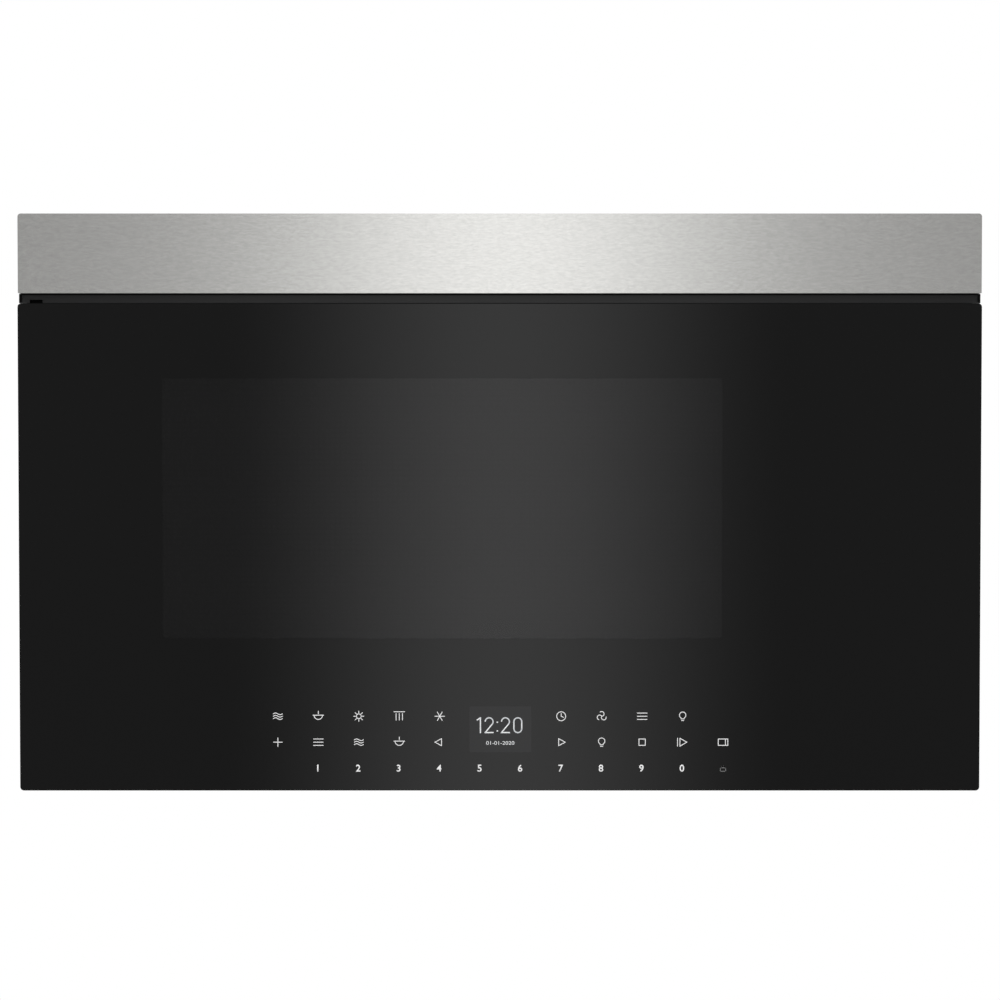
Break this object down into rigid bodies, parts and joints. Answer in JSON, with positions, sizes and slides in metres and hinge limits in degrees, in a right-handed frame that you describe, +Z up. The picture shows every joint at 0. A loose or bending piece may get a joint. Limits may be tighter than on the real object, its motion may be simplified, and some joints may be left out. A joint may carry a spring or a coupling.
{
  "type": "over-the-range microwave",
  "caption": "Wall-hung microwave oven with a steel vent panel, full-width black glass door with touch controls, offset window, blower hood and base filters",
  "frame": {"origin": "middle of the wall plate's lower edge, on the wall plane", "axes": "+X right seen from the front, +Y into the wall, +Z up"},
  "size_m": [0.76, 0.346, 0.456],
  "materials": {
    "galvanised": "zinc coated sheet",
    "dark_grey_paint": "satin paint",
    "black_plastic": "fine moulded grain",
    "stainless": "brushed along X, satin",
    "black_glass": "flat, polished, dark tinted",
    "clear_glass": "polished",
    "board_green": "solder mask",
    "display_black": "smooth filter window",
    "steel": "bright zinc plated",
    "enamel": "speckled grey enamel",
    "ceramic_floor": "smooth glass ceramic",
    "white_plastic": "moulded, satin",
    "aluminium": "mill finish",
    "copper_winding": "varnished winding",
    "charcoal": "granular",
    "frosted_glass": "frosted"
  },
  "bodies": {
    "chassis": {"wall_plate": "galvanised", "rear_panel": "galvanised", "outer_case": "dark_grey_paint", "cord_gland": "black_plastic", "base_pan": "dark_grey_paint", "component_shelf": "galvanised", "front_frame": "dark_grey_paint", "vent_panel": "stainless", "vent_deflector": "black_plastic", "hinge_brackets": "dark_grey_paint", "hinge_pins": "dark_grey_paint", "cavity_shell": "enamel", "floor_plate": "ceramic_floor", "rack_supports": "white_plastic", "waveguide": "galvanised", "stirrer_motor": "steel", "magnetron": "steel", "hv_transformer": "copper_winding", "hv_capacitor": "aluminium", "cooling_fan_housing": "white_plastic", "cooling_fan_motor": "steel", "convection_housing": "galvanised", "convection_heater": "steel", "convection_motor": "steel", "grill_reflector": "aluminium", "grill_element": "steel", "cavity_lamp": "white_plastic", "board_bracket": "galvanised", "control_board": "board_green", "noise_filter": "board_green", "latch_board": "white_plastic", "interlock_switches": "black_plastic", "release_solenoid": "steel", "blower_housing": "galvanised", "blower_motor": "steel", "damper_frame": "galvanised", "charcoal_filter": "charcoal", "lamp_lenses": "frosted_glass", "cooktop_lamps": "white_plastic", "case_screws": "steel", "pan_head_screws": "steel"},
    "door": {"door_glass": "black_glass", "door_frame": "black_plastic", "door_choke": "dark_grey_paint", "choke_cover": "black_plastic", "door_screen": "dark_grey_paint", "door_inner_glass": "clear_glass", "touch_board": "board_green", "display_module": "display_black"},
    "latch": {"latch_lever": "black_plastic", "latch_spring": "steel"},
    "release": {"release_plunger": "steel"},
    "switches": {"switch_plungers": "white_plastic"},
    "blower": {"blower_wheels": "black_plastic"},
    "fan": {"cooling_fan": "white_plastic"},
    "convection": {"convection_fan": "aluminium"},
    "stirrer_disc": {"stirrer": "aluminium"},
    "damper": {"damper_flap": "galvanised"},
    "filter_left": {"grease_filter_left": "aluminium"},
    "filter_right": {"grease_filter_right": "aluminium"}
  },
  "joints": [
    {"name": "door_hinge", "type": "hinge", "parent": "chassis", "child": "door", "pos_m": [-0.3662, -0.332, 0.19], "axis": [0, 0, -1], "range_deg": [0, 105]},
    {"name": "latch_drop", "type": "slide", "parent": "door", "child": "latch", "axis": [0, 0, 1], "range_m": [-0.004, 0], "stiffness_N_per_m": 120, "springref_m": -0.004, "deforming": ["latch_spring"]},
    {"name": "release_lift", "type": "slide", "parent": "chassis", "child": "release", "axis": [0, 0, 1], "range_m": [0, 0.004], "stiffness_N_per_m": 100},
    {"name": "switch_press", "type": "slide", "parent": "chassis", "child": "switches", "axis": [0, 1, 0], "range_m": [0, 0.0015], "stiffness_N_per_m": 200},
    {"name": "blower_spin", "type": "hinge", "parent": "chassis", "child": "blower", "pos_m": [0, -0.068, 0.393], "axis": [1, 0, 0], "continuous": true},
    {"name": "cooling_fan_spin", "type": "hinge", "parent": "chassis", "child": "fan", "pos_m": [0.307, -0.079, 0.15], "axis": [0, 1, 0], "continuous": true},
    {"name": "convection_spin", "type": "hinge", "parent": "chassis", "child": "convection", "pos_m": [0.2026, -0.1615, 0.226], "axis": [1, 0, 0], "continuous": true},
    {"name": "stirrer_spin", "type": "hinge", "parent": "chassis", "child": "stirrer_disc", "pos_m": [-0.0454, -0.16, 0.1], "axis": [0, 0, 1], "continuous": true},
    {"name": "damper_open", "type": "hinge", "parent": "chassis", "child": "damper", "pos_m": [0, -0.0308, 0.447], "axis": [-1, 0, 0], "range_deg": [0, 70]},
    {"name": "filter_left_drop", "type": "hinge", "parent": "chassis", "child": "filter_left", "pos_m": [-0.19, -0.051, 0.0065], "axis": [1, 0, 0], "range_deg": [0, 60]},
    {"name": "filter_right_drop", "type": "hinge", "parent": "chassis", "child": "filter_right", "pos_m": [0.19, -0.051, 0.0065], "axis": [1, 0, 0], "range_deg": [0, 60]}
  ]
}
